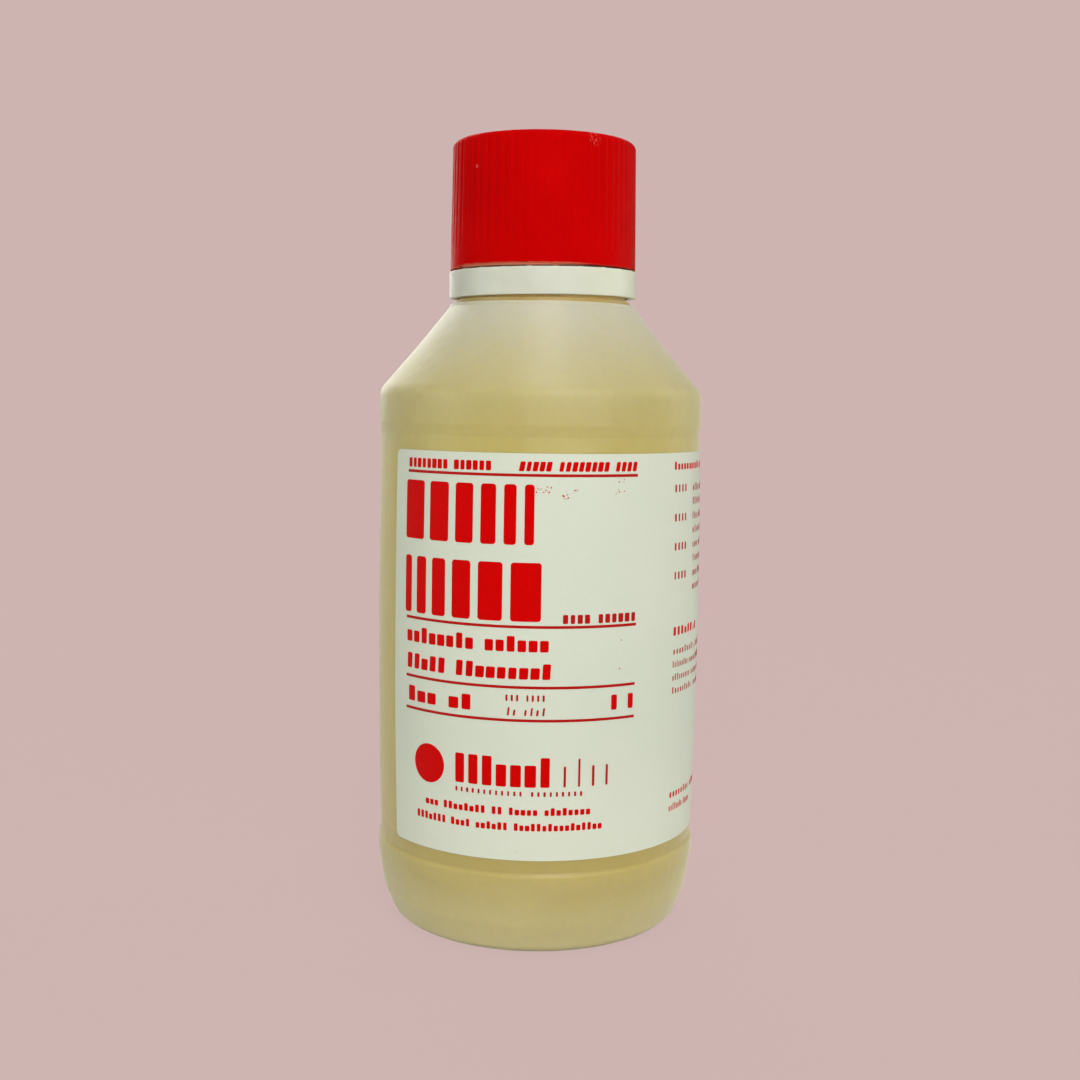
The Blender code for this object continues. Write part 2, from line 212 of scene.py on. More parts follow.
# ------------------------------------------------------------------- materials
class Mat:
    """Small node-graph builder round one Principled shader."""

    def __init__(self, name):
        self.mat = bpy.data.materials.new(name)
        self.mat.use_nodes = True
        self.tree = self.mat.node_tree
        self.bsdf = self.tree.nodes["Principled BSDF"]
        self.coords = None

    def node(self, kind, **values):
        n = self.tree.nodes.new(kind)
        for key, v in values.items():
            setattr(n, key, v)
        return n

    def link(self, a, b):
        self.tree.links.new(a, b)

    def set(self, **values):
        for key, v in values.items():
            self.bsdf.inputs[key.replace("_", " ")].default_value = v

    def pos(self):
        """Object coordinates in millimetres."""
        if self.coords is None:
            tc = self.node("ShaderNodeTexCoord")
            sc = self.node("ShaderNodeVectorMath", operation="SCALE")
            sc.inputs["Scale"].default_value = 1000.0
            self.link(tc.outputs["Object"], sc.inputs[0])
            self.coords = sc.outputs[0]
        return self.coords

    def scaled(self, v):
        m = self.node("ShaderNodeVectorMath", operation="MULTIPLY")
        self.link(self.pos(), m.inputs[0])
        m.inputs[1].default_value = v
        return m.outputs[0]

    def axis(self, which):
        s = self.node("ShaderNodeSeparateXYZ")
        self.link(self.pos(), s.inputs[0])
        return s.outputs[which]

    def noise(self, scale, detail=3.0, rough=0.55, vector=None, distortion=0.0):
        n = self.node("ShaderNodeTexNoise")
        n.inputs["Scale"].default_value = scale
        n.inputs["Detail"].default_value = detail
        n.inputs["Roughness"].default_value = rough
        n.inputs["Distortion"].default_value = distortion
        self.link(vector or self.pos(), n.inputs["Vector"])
        return n.outputs["Fac"]

    def math(self, op, a, b=0.0, c=0.0, clamp=False):
        n = self.node("ShaderNodeMath", operation=op)
        n.use_clamp = clamp
        for i, v in enumerate((a, b, c)):
            if isinstance(v, (int, float)):
                n.inputs[i].default_value = v
            else:
                self.link(v, n.inputs[i])
        return n.outputs[0]

    def fit(self, v, a, b, lo=0.0, hi=1.0, kind="SMOOTHSTEP"):
        n = self.node("ShaderNodeMapRange")
        n.interpolation_type = kind
        self.link(v, n.inputs["Value"])
        n.inputs["From Min"].default_value = a
        n.inputs["From Max"].default_value = b
        n.inputs["To Min"].default_value = lo
        n.inputs["To Max"].default_value = hi
        return n.outputs["Result"]

    def ramp(self, fac, stops, interpolation="LINEAR"):
        n = self.node("ShaderNodeValToRGB")
        r = n.color_ramp
        r.interpolation = interpolation
        while len(r.elements) < len(stops):
            r.elements.new(0.5)
        for e, (p, c) in zip(r.elements, stops):
            e.position = p
            e.color = (*c, 1.0)
        self.link(fac, n.inputs["Fac"])
        return n.outputs["Color"]

    def mix(self, fac, a, b, blend="MIX"):
        n = self.node("ShaderNodeMix", data_type="RGBA", blend_type=blend)
        n.clamp_factor = True
        if isinstance(fac, (int, float)):
            n.inputs["Factor"].default_value = fac
        else:
            self.link(fac, n.inputs["Factor"])
        for sock, v in ((n.inputs[6], a), (n.inputs[7], b)):
            if isinstance(v, tuple):
                sock.default_value = (*v, 1.0)
            else:
                self.link(v, sock)
        return n.outputs[2]

    def colour(self, out):
        self.link(out, self.bsdf.inputs["Base Color"])

    def rough(self, out):
        self.link(out, self.bsdf.inputs["Roughness"])

    def bump(self, *layers):
        """layers: (height output in mm, strength)."""
        prev = None
        for height, strength in layers:
            b = self.node("ShaderNodeBump")
            b.inputs["Distance"].default_value = 0.001
            b.inputs["Strength"].default_value = strength
            self.link(height, b.inputs["Height"])
            if prev is not None:
                self.link(prev, b.inputs["Normal"])
            prev = b.outputs["Normal"]
        self.link(prev, self.bsdf.inputs["Normal"])


def hdpe_material():
    m = Mat("natural_hdpe")
    z = m.axis(2)
    cloud = m.noise(0.045, 2.0, 0.5)
    mott = m.noise(0.6, 4.0, 0.6)
    level = m.math("ADD", z, m.math("MULTIPLY", m.math("SUBTRACT", cloud, 0.5), 7.0))
    up = m.fit(level, 0.0, 150.0, 0.0, 1.0, "LINEAR")
    # colour by height: deep yellow where the developer stands behind the translucent wall, paler above the fill level
    # and up the shoulder; the stops nearest the base are painted lighter, as painted light on the base
    tint = m.ramp(up, [
        (0.000, (0.630, 0.550, 0.285)),
        (0.055, (0.575, 0.490, 0.225)),
        (0.090, (0.520, 0.428, 0.165)),
        (0.125, (0.530, 0.425, 0.122)),
        (0.600, (0.545, 0.445, 0.125)),
        (0.665, (0.525, 0.450, 0.180)),
        (0.700, (0.540, 0.482, 0.245)),
        (0.745, (0.555, 0.515, 0.335)),
        (0.780, (0.570, 0.545, 0.415)),
        (0.900, (0.640, 0.600, 0.470)),
        (1.000, (0.680, 0.650, 0.540)),
    ])
    # the neck's foot, up to the bead, is painted a bright warm brown: painted light that stands for glow through the
    # translucent plastic in the shade under the ring
    painted_glow = m.math("MULTIPLY", m.fit(z, 118.60, 118.66), m.fit(z, 123.6, 122.7))
    brown = m.mix(m.fit(z, 119.15, 119.45), (0.600, 0.425, 0.145), (0.960, 0.665, 0.235))
    tint = m.mix(painted_glow, tint, brown)
    # the recessed strip below the label is painted darker: painted shade in the recess
    strip_shade = m.math("MULTIPLY", m.fit(z, 15.75, 16.15), m.fit(z, 19.6, 18.8))
    tint = m.mix(m.math("MULTIPLY", strip_shade, 0.55), tint, (0.455, 0.355, 0.115))
    # painted contact shade where the base radius meets the bench
    tint = m.mix(m.fit(z, 1.5, 0.6, 0.0, 0.60), tint, (0.330, 0.255, 0.090))
    grey = m.ramp(mott, [(0.30, (0.955, 0.955, 0.955)), (0.70, (1.0, 1.0, 1.0))])
    tint = m.mix(1.0, tint, grey, "MULTIPLY")
    m.colour(tint)
    m.rough(m.fit(m.noise(1.4, 3.0), 0.3, 0.7, 0.36, 0.44))
    m.set(IOR=1.5, Subsurface_Weight=0.5, Subsurface_Scale=0.0022, Subsurface_Radius=(1.0, 0.8, 0.45),
          Specular_IOR_Level=0.5, Sheen_Weight=0.44, Sheen_Roughness=0.45, Sheen_Tint=(1.0, 0.985, 0.87, 1.0))
    streak = m.noise(0.35, 3.0, 0.6, m.scaled((1.0, 1.0, 0.18)))
    m.bump((m.noise(0.09, 2.0), 0.35), (streak, 0.06), (m.noise(4.0, 3.0), 0.012))
    return m.mat


def liquid_material():
    m = Mat("developer_liquid")
    deep = m.noise(0.03, 2.0)
    m.colour(m.ramp(deep, [(0.3, (0.42, 0.27, 0.060)), (0.7, (0.50, 0.34, 0.085))]))
    m.rough(m.fit(m.noise(0.5, 2.0), 0.3, 0.7, 0.03, 0.07))
    m.set(IOR=1.36, Coat_Weight=0.3, Coat_Roughness=0.03, Subsurface_Weight=0.4, Subsurface_Scale=0.004,
          Subsurface_Radius=(1.0, 0.6, 0.15))
    m.bump((m.noise(0.05, 2.0), 0.15))
    return m.mat


def label_material():
    m = Mat("label_paper")
    fibre = m.noise(2.6, 5.0, 0.65, m.scaled((1.0, 1.0, 0.6)))
    cloud = m.noise(0.035, 2.0)
    base = m.ramp(cloud, [(0.3, (0.655, 0.708, 0.618)), (0.7, (0.690, 0.733, 0.632))])
    base = m.mix(1.0, base, m.ramp(fibre, [(0.30, (0.965, 0.965, 0.955)), (0.68, (1.0, 1.0, 1.0))]), "MULTIPLY")
    z = m.axis(2)
    low = m.fit(z, 44.0, 20.0, 0.0, 1.0)
    base = m.mix(m.math("MULTIPLY", low, 0.5), base, (0.745, 0.785, 0.670))
    m.colour(base)
    m.rough(m.fit(m.noise(0.9, 4.0), 0.3, 0.7, 0.40, 0.52))
    m.set(IOR=1.46, Specular_IOR_Level=0.4, Sheen_Weight=0.05)
    m.bump((m.noise(0.12, 2.0), 0.12), (fibre, 0.018))
    return m.mat


def print_material():
    m = Mat("label_print_red")
    n = m.noise(1.8, 4.0, 0.6)
    m.colour(m.ramp(n, [(0.30, (0.590, 0.0012, 0.0014)), (0.70, (0.650, 0.0018, 0.0018))]))
    m.rough(m.fit(n, 0.3, 0.7, 0.36, 0.50))
    m.set(Specular_IOR_Level=0.15, Specular_Tint=(1.0, 0.03, 0.03, 1.0))
    m.bump((m.noise(3.0, 3.0), 0.01))
    return m.mat


def rule_material():
    m = Mat("label_print_dark")
    n = m.noise(1.8, 4.0, 0.6)
    m.colour(m.ramp(n, [(0.30, (0.40, 0.008, 0.008)), (0.70, (0.46, 0.012, 0.010))]))
    m.rough(m.fit(n, 0.3, 0.7, 0.36, 0.50))
    m.set(Specular_IOR_Level=0.4, Specular_Tint=(1.0, 0.03, 0.03, 1.0))
    m.bump((m.noise(3.0, 3.0), 0.01))
    return m.mat


def ring_material():
    m = Mat("white_pp")
    n = m.noise(0.25, 3.0)
    base = m.ramp(n, [(0.3, (0.618, 0.640, 0.562)), (0.7, (0.650, 0.665, 0.582))])
    # painted lighter and yellower towards the right side: painted light, as if falling from the right
    base = m.mix(m.fit(m.axis(0), 1.0, 13.5), base, (0.735, 0.760, 0.635))
    m.colour(base)
    m.rough(m.fit(m.noise(1.5, 4.0), 0.3, 0.7, 0.32, 0.44))
    m.set(IOR=1.49, Subsurface_Weight=0.35, Subsurface_Scale=0.0016, Subsurface_Radius=(1.0, 0.9, 0.7))
    turn = m.noise(2.2, 2.0, 0.5, m.scaled((0.15, 0.15, 1.4)))
    m.bump((turn, 0.05), (m.noise(5.0, 2.0), 0.01))
    return m.mat


def cap_material():
    m = Mat("red_pp")
    cloud = m.noise(0.09, 3.0, 0.55)
    base = m.ramp(cloud, [(0.28, (0.520, 0.0008, 0.0012)), (0.72, (0.585, 0.0012, 0.0014))])
    # pale rub marks: one at the top edge right of the front, a nick on the left
    pos = m.pos()

    def spot(centre, radius, lo, hi, scale, squash=(1.0, 1.0, 1.0)):
        d = m.node("ShaderNodeVectorMath", operation="SUBTRACT")
        m.link(pos, d.inputs[0])
        d.inputs[1].default_value = centre
        q = m.node("ShaderNodeVectorMath", operation="MULTIPLY")
        m.link(d.outputs[0], q.inputs[0])
        q.inputs[1].default_value = squash
        ln = m.node("ShaderNodeVectorMath", operation="LENGTH")
        m.link(q.outputs[0], ln.inputs[0])
        near = m.fit(ln.outputs["Value"], radius, radius * 0.35, 0.0, 1.0)
        grit = m.fit(m.noise(scale, 5.0, 0.7), lo, hi, 0.0, 1.0)
        return m.math("MULTIPLY", near, grit)

    a = math.radians(31.5)
    rub = spot((17.1 * math.sin(a), -17.1 * math.cos(a), 148.1), 1.7, 0.54, 0.62, 2.6, (1.0, 1.0, 0.8))
    a = math.radians(-44.7)
    nick = spot((17.6 * math.sin(a), -17.6 * math.cos(a), 143.0), 0.42, 0.42, 0.56, 3.0)
    # fine wear on the rib crests, all round
    wear = m.fit(m.noise(1.1, 6.0, 0.75, m.scaled((1.0, 1.0, 0.25))), 0.70, 0.78, 0.0, 0.35)
    marks = m.math("MAXIMUM", m.math("MAXIMUM", rub, nick), wear)
    base = m.mix(m.math("MULTIPLY", marks, 0.75), base, (0.72, 0.20, 0.17))
    # stress-whitened where the bridges to the ring tore off the open edge, and partly painted light: the peach tone
    # also stands for red bounce light on the shaded plastic in the gap
    torn_and_bounce = m.math("MULTIPLY", m.fit(m.math("ADD", m.axis(2), m.math("MULTIPLY", m.noise(0.8, 3.0), 0.30)),
                                    125.72, 125.56, 0.0, 1.0), m.fit(m.axis(2), 125.22, 125.34, 0.0, 1.0))
    # strongest along the front, faint everywhere else
    along = m.math("MULTIPLY", m.fit(m.axis(0), 10.5, 5.0), m.fit(m.axis(1), 2.0, -4.0))
    along = m.math("MULTIPLY", along, m.fit(m.axis(0), -15.9, -15.2))
    along = m.math("MAXIMUM", along, 0.12)
    base = m.mix(m.math("MULTIPLY", torn_and_bounce, m.math("MULTIPLY", along, 0.75)), base, (0.74, 0.215, 0.125))
    # the lowest face of the torn lip is painted a darker peach: the same painted bounce light, with painted shade under
    # the edge
    lip = m.math("MULTIPLY", m.fit(m.axis(2), 125.30, 125.20), m.math("MAXIMUM", along, 0.35))
    base = m.mix(lip, base, (0.560, 0.190, 0.112))
    m.colour(base)
    m.rough(m.math("ADD", m.fit(m.noise(0.8, 4.0), 0.3, 0.7, 0.30, 0.42), m.math("MULTIPLY", marks, 0.25), clamp=True))
    m.set(IOR=1.49, Specular_IOR_Level=0.015, Specular_Tint=(1.0, 0.02, 0.02, 1.0))
    m.bump((m.noise(0.5, 2.0), 0.06), (m.noise(5.0, 3.0), 0.012))
    return m.mat


def foam_material():
    m = Mat("white_foam")
    cells = m.node("ShaderNodeTexVoronoi")
    cells.inputs["Scale"].default_value = 3.2
    m.link(m.pos(), cells.inputs["Vector"])
    m.colour(m.ramp(m.noise(0.8, 3.0), [(0.3, (0.74, 0.74, 0.71)), (0.7, (0.80, 0.80, 0.77))]))
    m.rough(m.fit(m.noise(2.0), 0.3, 0.7, 0.75, 0.9))
    m.bump((cells.outputs["Distance"], 0.06), (m.noise(6.0, 3.0), 0.03))
    return m.mat


HDPE, LIQUID, LABEL = hdpe_material(), liquid_material(), label_material()
PRINT, RULE, RING_PP, CAP_PP, FOAM = print_material(), rule_material(), ring_material(), cap_material(), foam_material()


# ---------------------------------------------------------------------- bottle
def body_corners():
    """Outer skin from the foot of the neck down to the centre of the base."""
    rows = [
        (NECK_R, LEDGE_Z, 0.0),
        (CONE_TOP_R, LEDGE_Z, 0.9),
        (CONE_MID_R, CONE_MID_Z, 30.0),
        (BODY_R, SHOULDER_Z, 3.4),
        (BODY_R, PANEL_TOP + 2.0, 2.5),
        (panel_r(PANEL_TOP), PANEL_TOP, 1.5),
    ]
    for k in range(1, 12):
        z = PANEL_TOP + (PANEL_BOTTOM - PANEL_TOP) * k / 12.0
        rows.append((panel_r(z), z, 0.0))
    rows += [
        (panel_r(PANEL_BOTTOM), PANEL_BOTTOM, 0.15),
        (BODY_R, PANEL_BOTTOM - 0.65, 0.35),
        (BODY_R, 12.6, 9.0),
        (29.9, 6.0, 6.0),
        (27.5, 0.0, 3.2),
        (23.6, 0.0, 0.6),
        (20.4, 1.9, 1.2),
        (0.0, 3.2, 0.0),
    ]
    return rows


def make_bottle():
    outer = body_corners()
    inner = list(reversed(inset(outer, WALL)))
    inner[-1] = (BORE_R, inner[-1][1], 0.9)
    path = inner + [
        (BORE_R, LIP_Z, 0.4),
        (NECK_R, LIP_Z, 0.4),
        (NECK_R, 126.1, 0.15),
        (BEAD_R - 0.35, 125.4, 0.1),
        (BEAD_R, 125.15, 0.1),
        (BEAD_R, 122.9, 0.15),
        (NECK_R, 122.6, 0.1),
        (NECK_R, SPIGOT_Z, 0.3),
        (SPIGOT_R, SPIGOT_Z, 0.08),
        (SPIGOT_R, FOOT_Z, 0.08),
        (FOOT_R, FOOT_Z, 0.08),
        (FOOT_R, LEDGE_Z, 0.08),
        (FLANGE_R, LEDGE_Z, 0.16),
        (FLANGE_R + 0.1, LEDGE_Z - 0.6, 0.3),
    ] + outer[2:]
    pts = refined(rounded(path), 3.0, [(129.5, 141.5, 0.22), (CONE_MID_Z - 3.0, CONE_MID_Z + 3.0, 0.6)])
    outer_from = next(i for i, p in enumerate(pts) if p[1] > LIP_Z - 1e-3)

    def shape(i, r, z, a):
        if i <= outer_from:
            return r, z
        if z > LEDGE_Z + 0.01:
            if r > NECK_R - 1e-3:
                r += THREAD_H * ridge(a, z, THREAD_Z, THREAD_A0)
            return r, z
        fade = smooth(z, 1.0, 14.0) * (1.0 - smooth(z, 112.0, 117.8))
        r += 0.045 * fade * wave(a, z, 1.0)
        # mould parting line at both sides
        for at in (PI / 2.0, 1.5 * PI):
            d = (a - at) * r
            if abs(d) < 0.9 and z > 2.0:
                r += 0.045 * math.exp(-(d / 0.28) ** 2)
        if r < 20.0 and z < 4.0:
            # pinch-off seam across the base
            x, y = r * math.sin(a), -r * math.cos(a)
            if abs(x) < 15.0:
                z -= 0.30 * math.exp(-(y / 0.45) ** 2) * smooth(15.0 - abs(x), 0.0, 2.0)
        return r, z

    return turned("bottle_shell", pts, 256, HDPE, shape, sharp=50.0)


def make_liquid():
    inner = inset(body_corners(), WALL + 0.08)
    low = [c for c in inner if c[1] < FILL_Z - 1.0]
    wall = low[0][0]
    path = [(0.0, FILL_Z, 0.0), (wall - 2.6, FILL_Z + 0.02, 0.0), (wall - 1.5, FILL_Z + 0.10, 0.0),
            (wall - 0.7, FILL_Z + 0.32, 0.0), (wall - 0.2, FILL_Z + 0.75, 0.0),
            (wall, FILL_Z + 1.1, 0.0)] + low
    return turned("liquid_fill", refined(rounded(path), 3.0), 128, LIQUID, sharp=50.0)


# ----------------------------------------------------------------------- label
def crease(a, z):
    """A soft vertical wrinkle near the right-hand side of the front."""
    at = math.radians(64.0 + (90.0 - z) / 54.0 * 9.0)
    d = (a - at) * 31.0
    f = smooth(z, 30.0, 44.0) * smooth(z, 91.5, 86.0)
    return f * (0.13 * math.exp(-(d / 0.55) ** 2) + 0.05 * math.exp(-((d - 2.2) / 1.1) ** 2))


def label_r(a, z):
    return panel_r(z) + 0.13 + 0.045 * wave(a, z, 1.0) + crease(a, z)


def make_label():
    corner = 1.2
    cols = []
    for f in (0.0, 0.03, 0.1, 0.22, 0.4, 0.65, 1.0):
        cols.append(LABEL_A0 + corner / 31.0 * f)
    n = 420
    for k in range(1, n):
        cols.append(LABEL_A0 + corner / 31.0 + (LABEL_A1 - LABEL_A0 - 2.0 * corner / 31.0) * k / n)
    for f in (1.0, 0.65, 0.4, 0.22, 0.1, 0.03, 0.0):
        cols.append(LABEL_A1 - corner / 31.0 * f)
    levels = 64
    verts, faces, rows = [], [], []
    for a in cols:
        inside = min(a - LABEL_A0, LABEL_A1 - a) * 31.0
        cut = 0.0
        if inside < corner:
            d = corner - inside
            cut = corner - math.sqrt(max(corner ** 2 - d * d, 0.0))
        lo, hi = LABEL_Z0 + cut, LABEL_Z1 - cut
        zs = [lo + (hi - lo) * i / (levels - 1) for i in range(levels)]
        row = []
        for z in zs:
            row.append(len(verts))
            verts.append(around(label_r(a, z) - 0.11, a, z))
        for z in reversed(zs):
            row.append(len(verts))
            verts.append(around(label_r(a, z), a, z))
        rows.append(row)
    m = 2 * levels
    for lo, hi in zip(rows, rows[1:]):
        for i in range(m):
            j = (i + 1) % m
            faces.append((lo[i], lo[j], hi[j], hi[i]))
    for row in (rows[0], rows[-1]):
        for i in range(levels - 1):
            faces.append((row[i], row[i + 1], row[m - 2 - i], row[m - 1 - i]))
    return new_object("label_sheet", verts, faces, LABEL, sharp=50.0)


class Ink:
    """Flat print on the label: thin closed patches that follow its surface.
    u is the distance round the label in mm, 0 at the front."""

    def __init__(self, name, mat, lift=0.012, thick=0.02):
        self.name, self.mat, self.lift, self.thick = name, mat, lift, thick
        self.verts, self.faces = [], []

    def patch(self, u0, u1, z0, z1, r=0.15, slant=0.0):
        w, h = u1 - u0, z1 - z0
        r = min(r, w / 2.0, h / 2.0)
        us = []
        seg = 14 if r > 2.0 else (4 if r > 0.3 else 2)
        for k in range(seg + 1):
            t = k / seg * PI / 2.0
            us.append((u0 + r - r * math.cos(t), r - r * math.sin(t)))
        mid = max(1, int(math.ceil((w - 2.0 * r) / 1.2)))
        for k in range(1, mid):
            us.append((u0 + r + (w - 2.0 * r) * k / mid, 0.0))
        for k in range(seg + 1):
            t = (1.0 - k / seg) * PI / 2.0
            us.append((u1 - r + r * math.cos(t), r - r * math.sin(t)))
        n = 4 if h > 4.0 else 2
        base = len(self.verts)
        for u, cut in us:
            lo, hi = z0 + cut, z1 - cut
            if hi - lo < 0.01:
                hi = lo + 0.01
            for side in (0, 1):
                for k in range(n):
                    z = lo + (hi - lo) * k / (n - 1)
                    a = (u + slant * (z - z0)) / 31.0
                    rad = label_r(a, z) + self.lift + (self.thick if side else 0.0)
                    self.verts.append(around(rad, a, z))
        m = 2 * n
        cols = len(us)
        ring = list(range(n)) + [n + k for k in reversed(range(n))]
        for c in range(cols - 1):
            p, q = base + c * m, base + (c + 1) * m
            for i in range(m):
                j = (i + 1) % m
                self.faces.append((p + ring[i], p + ring[j], q + ring[j], q + ring[i]))
        for c in (0, cols - 1):
            p = base + c * m
            for k in range(n - 1):
                self.faces.append((p + k, p + k + 1, p + n + k + 1, p + n + k))

    def rule(self, u0, u1, z, w=0.45):
        self.patch(u0, u1, z - w / 2.0, z + w / 2.0, 0.05)

    def dashes(self, u0, u1, z0, z1, words, seed, fill=0.62, narrow=0.62, slant=0.0, tall=0.4):
        """A row of short upright bars in groups, which stands for a line of small type."""
        h = z1 - z0
        total = float(sum(words)) + 0.9 * (len(words) - 1)
        unit = (u1 - u0) / total
        u = u0
        s = seed
        for w in words:
            for k in range(w):
                s = (s * 1103515245 + 12345) % 2147483648
                t = (s >> 16) % 100 / 100.0
                width = unit * fill * (0.86 + 0.28 * t)
                top = z1 if t < tall else z0 + h * 0.74
                self.patch(u + (unit - width) / 2.0, u + (unit + width) / 2.0, z0, top,
                           min(0.12 * h, 0.25), slant)
                u += unit
            u += unit * 0.9

    def speck(self, u, z, size, count, seed):
        s = seed
        for k in range(count):
            vals = []
            for _ in range(3):
                s = (s * 1103515245 + 12345) % 2147483648
                vals.append((s >> 16) % 1000 / 1000.0)
            x = u + (vals[0] - 0.5) * size
            y = z + (vals[1] - 0.5) * size * 0.55
            d = 0.10 + 0.20 * vals[2]
            self.patch(x, x + d, y, y + d, d / 2.0)

    def build(self):
        ob = new_object(self.name, self.verts, self.faces, self.mat, sharp=50.0)
        return ob


def make_print():
    red, dark = Ink("label_print_red", PRINT), Ink("label_print_rules", RULE, lift=0.014)

    # rules across the front panel
    for z, w in ((87.6, 0.5), (60.95, 0.5), (50.15, 0.5), (44.2, 0.5)):
        dark.rule(-27.1, 18.5, z, w)
    # heading row
    red.dashes(-27.1, -8.5, 88.3, 90.0, (8, 6), 3, 0.74, tall=1.0)
    red.dashes(-3.8, 18.3, 88.3, 90.0, (5, 8, 4), 11, 0.74, slant=0.18, tall=1.0)

    # two rows of bold bars of stepped width
    x = -27.5
    for w, g in ((5.0, 1.45), (4.2, 1.45), (3.5, 1.45), (2.8, 1.45), (2.2, 1.45), (1.7, 0.0)):
        red.patch(x, x + w, 75.4, 86.0, 0.55)
        x += w + g
    x = -27.5
    for w, g in ((1.8, 1.45), (2.4, 1.45), (3.0, 1.45), (3.7, 1.45), (4.5, 1.45), (5.4, 0.0)):
        red.patch(x, x + w, 61.9, 72.3, 0.55)
        x += w + g

    dark.dashes(4.2, 18.5, 61.55, 63.15, (4, 6), 7, 0.68, tall=1.0)
    red.dashes(-27.1, 2.2, 56.5, 59.3, (8, 6), 5, 0.74)
    red.dashes(-27.1, 2.6, 51.6, 54.4, (5, 9), 19, 0.74, slant=0.05)
    red.dashes(-26.7, -11.6, 45.55, 48.35, (3, 2), 23, 0.72, tall=0.8)
    red.dashes(13.3, 18.5, 45.75, 48.5, (1, 1), 29, 0.62, tall=1.0)
    dark.dashes(-5.8, 1.7, 47.65, 49.25, (3, 4), 31, 0.36)
    dark.dashes(-5.6, 1.7, 45.05, 46.55, (2, 4), 37, 0.36, slant=0.12)

    # plain disc and a bold bar group in the foot of the panel
    red.patch(-24.6, -17.4, 31.0, 38.2, 3.6)
    red.dashes(-15.4, 3.0, 32.1, 37.5, (7,), 41, 0.70, tall=0.6)
    dark.dashes(3.9, 14.4, 32.1, 37.3, (4,), 43, 0.16, tall=0.5)
    dark.dashes(-15.3, 8.8, 30.45, 31.3, (12, 9), 47, 0.34, tall=1.0)
    red.dashes(-21.9, 10.2, 26.95, 28.35, (3, 8, 2, 5, 8), 53, 0.70)
    red.dashes(-24.2, 12.5, 24.1, 25.5, (7, 4, 6, 16), 59, 0.70)

    # second panel, from the right-hand side round to the back
    red.dashes(28.2, 47.0, 88.3, 89.8, (11, 4), 61, 0.60)
    for k in range(4):
        z = 84.9 - 5.35 * k
        dark.dashes(28.3, 33.4, z - 0.7, z + 0.7, (4,), 67 + k, 0.42, tall=1.0)
        dark.dashes(36.2, 66.0 - 5.0 * (k % 2), z - 0.7, z + 0.7, (4, 9, 3, 8), 71 + k, 0.40)
        dark.dashes(36.2, 58.0 + 4.0 * (k % 3), z - 3.3, z - 1.9, (6, 5, 7), 79 + k, 0.40)
    red.dashes(28.4, 40.0, 57.7, 59.3, (8,), 83, 0.62)
    for k in range(4):
        z = 54.8 - 2.45 * k
        dark.dashes(28.5, 62.0 - 4.0 * ((k * 3) % 4), z - 0.65, z + 0.65, (9, 6, 8, 4), 89 + k, 0.40)
    for k in range(2):
        z = 27.6 - 2.6 * k
        red.dashes(29.0, 45.0 - 6.0 * k, z - 0.7, z + 0.7, (8, 5), 97 + k, 0.50)

    # third panel at the back, guessed: a heading, a ruled block and close rows
    red.dashes(76.0, 104.0, 86.6, 89.6, (6, 7), 101, 0.64)
    for z in (84.9, 70.0, 55.0, 40.0):
        dark.rule(76.0, 122.0, z, 0.4)
    for b, top in enumerate((82.4, 67.5, 52.5)):
        for k in range(4):
            z = top - 3.0 * k
            dark.dashes(76.2, 84.0, z - 0.7, z + 0.7, (5,), 107 + 5 * b + k, 0.42)
            dark.dashes(88.0, 118.0 - 7.0 * ((k + b) % 3), z - 0.7, z + 0.7, (5, 8, 6), 131 + 7 * b + k, 0.40)
    for k in range(4):
        z = 37.0 - 3.0 * k
        red.dashes(76.2, 112.0 - 6.0 * (k % 2), z - 0.75, z + 0.75, (7, 5, 9), 151 + k, 0.52)

    # ink specks right of the bold bars and near the heading
    red.speck(0.6, 85.0, 2.6, 16, 5)
    red.speck(5.6, 84.2, 3.4, 12, 8)
    red.speck(14.6, 84.6, 1.8, 6, 12)
    dark.speck(15.6, 87.0, 3.0, 5, 17)
    dark.speck(15.2, 58.2, 0.3, 1, 21)
    dark.speck(14.9, 53.0, 0.3, 1, 22)
    dark.speck(-3.4, 20.2, 0.3, 1, 24)
    return red.build(), dark.build()


# --------------------------------------------------------------------- closure
STUBS = [math.radians(7.5 + 15.65 * k) for k in range(23)]


def near(a, b):
    return (a - b + PI) % (2.0 * PI) - PI


def make_ring():
    t, b = 2.5, -2.5
    corners = [
        (16.4, t - 0.3, 0.0), (16.7, t, 0.12), (17.9, t, 0.16), (17.9, b, 0.14),
        (16.4, b, 0.1), (16.4, b + 0.9, 0.0), (15.0, b + 1.1, 0.1), (15.0, b + 1.9, 0.1),
        (16.4, b + 2.2, 0.0), (16.4, t - 0.3, 0.0),
    ]
    pts = refined(rounded(corners, 0.12), 0.5)[:-1]
    tilt = (Matrix.Translation((0, 0, RING_MID_Z)) @ Matrix.Rotation(-RING_TILT_Y, 4, "Y")
            @ Matrix.Rotation(RING_TILT_X, 4, "X"))

    def place(p):
        q = tilt @ Vector(p)
        return (q.x, q.y, q.z)

    def shape(i, r, z, a):
        if z > 2.3 and r > 16.5:
            for k, s in enumerate(STUBS):
                d = abs(near(a, s)) * 17.5
                h = 0.04 + 0.03 * ((k * 7) % 3)
                z += h * smooth(0.55 - d, 0.0, 0.18)
        r += 0.015 * wave(a, z * 9.0, 3.0)
        return r, z

    return turned("tamper_ring_detail", pts, 480, RING_PP, shape, loop=True, sharp=50.0, place=place)


LIP_R = 17.40


